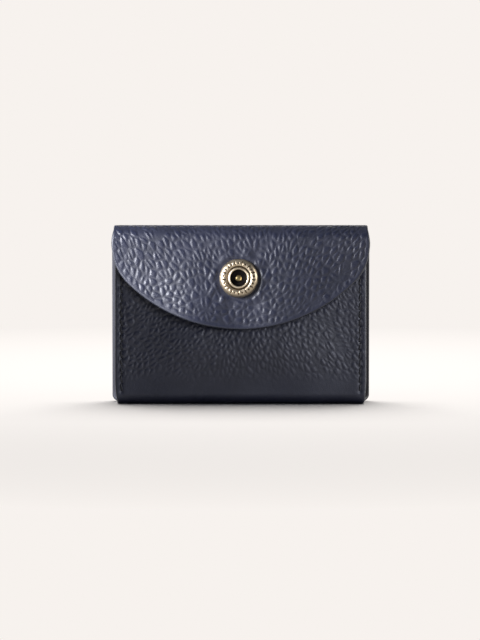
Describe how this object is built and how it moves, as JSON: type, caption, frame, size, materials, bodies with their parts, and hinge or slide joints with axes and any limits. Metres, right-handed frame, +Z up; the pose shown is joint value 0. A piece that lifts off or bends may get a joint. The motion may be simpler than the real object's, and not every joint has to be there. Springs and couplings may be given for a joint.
{
  "type": "card holder",
  "caption": "Small pebbled leather card holder: gusseted pocket, rounded flap over the front and a domed brass snap with an open centre.",
  "frame": {"origin": "middle of the flat strip that the holder stands on", "axes": "+X to the right seen from the front, the front faces -Y, +Z up"},
  "size_m": [0.1, 0.0208, 0.069],
  "materials": {
    "leather": "pebbled full grain, semi-matt, dark navy",
    "lining_leather": "thin smooth leather, matt, dark navy",
    "thread": "waxed thread, near-black navy",
    "aged_brass": "antique brass, dark in the recesses",
    "dark_disc": "blackened, satin",
    "bright_brass": "brushed, slightly tarnished",
    "spring_steel": "drawn wire"
  },
  "bodies": {
    "case": {"back_panel": "leather", "card_pocket": "lining_leather", "left_gusset": "lining_leather", "right_gusset": "lining_leather", "back_left_seam": "thread", "back_right_seam": "thread"},
    "spine": {"top_fold": "leather"},
    "flap": {"flap": "leather", "snap_cap": "aged_brass", "cap_disc": "dark_disc", "cap_rivet": "bright_brass", "snap_socket": "aged_brass", "socket_spring": "spring_steel"},
    "front": {"front_panel": "leather", "front_left_seam": "thread", "front_right_seam": "thread", "snap_stud": "aged_brass", "stud_post": "aged_brass", "stud_patch": "lining_leather"}
  },
  "joints": [
    {"name": "fold_rear", "type": "hinge", "parent": "case", "child": "spine", "pos_m": [0, 0.00445, 0.06716], "axis": [-1, 0, 0], "range_deg": [0, 100]},
    {"name": "fold_front", "type": "hinge", "parent": "spine", "child": "flap", "pos_m": [0, -0.00445, 0.06716], "axis": [-1, 0, 0], "range_deg": [0, 100], "deforming": ["socket_spring"]},
    {"name": "front_open", "type": "hinge", "parent": "case", "child": "front", "pos_m": [0, -0.00789, 0.00111], "axis": [1, 0, 0], "range_deg": [0, 12], "deforming": ["left_gusset", "right_gusset"]}
  ],
  "couplings": [
    {"joint": "fold_front", "follows": "fold_rear", "ratio": 1},
    {"joint": "front_open", "follows": "fold_rear", "ratio": 0.12}
  ]
}
